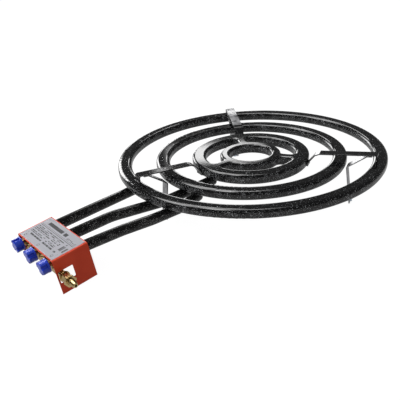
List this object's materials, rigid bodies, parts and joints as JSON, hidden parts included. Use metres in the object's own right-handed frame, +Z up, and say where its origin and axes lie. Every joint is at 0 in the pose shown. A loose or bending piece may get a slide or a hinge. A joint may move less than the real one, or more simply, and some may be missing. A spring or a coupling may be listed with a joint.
{
  "type": "triple ring gas burner",
  "caption": "Large round gas burner with concentric enamelled rings, separate feed tubes, a tilted red control head with lobed knobs, strip pan supports and short strip legs.",
  "frame": {"origin": "centre of the footprint, on the floor", "axes": "+X from the control head to the rings, +Y to the side away from the gas inlet, +Z up"},
  "size_m": [0.9967, 0.7, 0.1372],
  "materials": {
    "black_enamel": "glossy vitreous enamel with pale flecks",
    "strip_enamel": "glossy dark grey enamel on bent strip",
    "strip_steel": "dull zinc plated strip",
    "zinc_steel": "bluish bright zinc",
    "red_paint": "semi-gloss red-orange paint on bent sheet",
    "plate_metal": "satin light grey plate",
    "brass": "machined brass, slightly tarnished",
    "blue_plastic": "glossy moulded blue plastic"
  },
  "bodies": {
    "burner": {"outer_ring_top": "black_enamel", "outer_ring_base": "black_enamel", "middle_ring_top": "black_enamel", "middle_ring_base": "black_enamel", "inner_burner_top": "black_enamel", "inner_burner_base": "black_enamel", "outer_feed_tube": "black_enamel", "middle_feed_tube": "black_enamel", "inner_feed_tube": "black_enamel", "control_cover": "red_paint", "data_plate": "plate_metal", "gas_manifold": "brass", "manifold_plug": "brass", "inlet_nut": "brass", "hose_tail": "brass", "outer_tap": "brass", "outer_injector": "brass", "inner_tap": "brass", "inner_injector": "brass", "middle_tap": "brass", "middle_injector": "brass", "back_pan_support": "strip_enamel", "back_support_leg": "strip_steel", "back_leg_bolt": "zinc_steel", "back_leg_nut": "zinc_steel", "left_pan_support": "strip_enamel", "left_support_leg": "strip_steel", "left_leg_bolt": "zinc_steel", "left_leg_nut": "zinc_steel", "right_pan_support": "strip_enamel", "right_support_leg": "strip_steel", "right_leg_bolt": "zinc_steel", "right_leg_nut": "zinc_steel"},
    "outer_control": {"outer_knob": "blue_plastic", "outer_spindle": "brass"},
    "inner_control": {"inner_knob": "blue_plastic", "inner_spindle": "brass"},
    "middle_control": {"middle_knob": "blue_plastic", "middle_spindle": "brass"}
  },
  "joints": [
    {"name": "outer_control_turn", "type": "hinge", "parent": "burner", "child": "outer_control", "pos_m": [-0.47455, 0.0635, 0.06958], "axis": [-0.991, 0, -0.134], "range_deg": [0, 180]},
    {"name": "inner_control_turn", "type": "hinge", "parent": "burner", "child": "inner_control", "pos_m": [-0.47455, 0, 0.06958], "axis": [-0.991, 0, -0.134], "range_deg": [0, 180]},
    {"name": "middle_control_turn", "type": "hinge", "parent": "burner", "child": "middle_control", "pos_m": [-0.47455, -0.0635, 0.06958], "axis": [-0.991, 0, -0.134], "range_deg": [0, 180]}
  ]
}
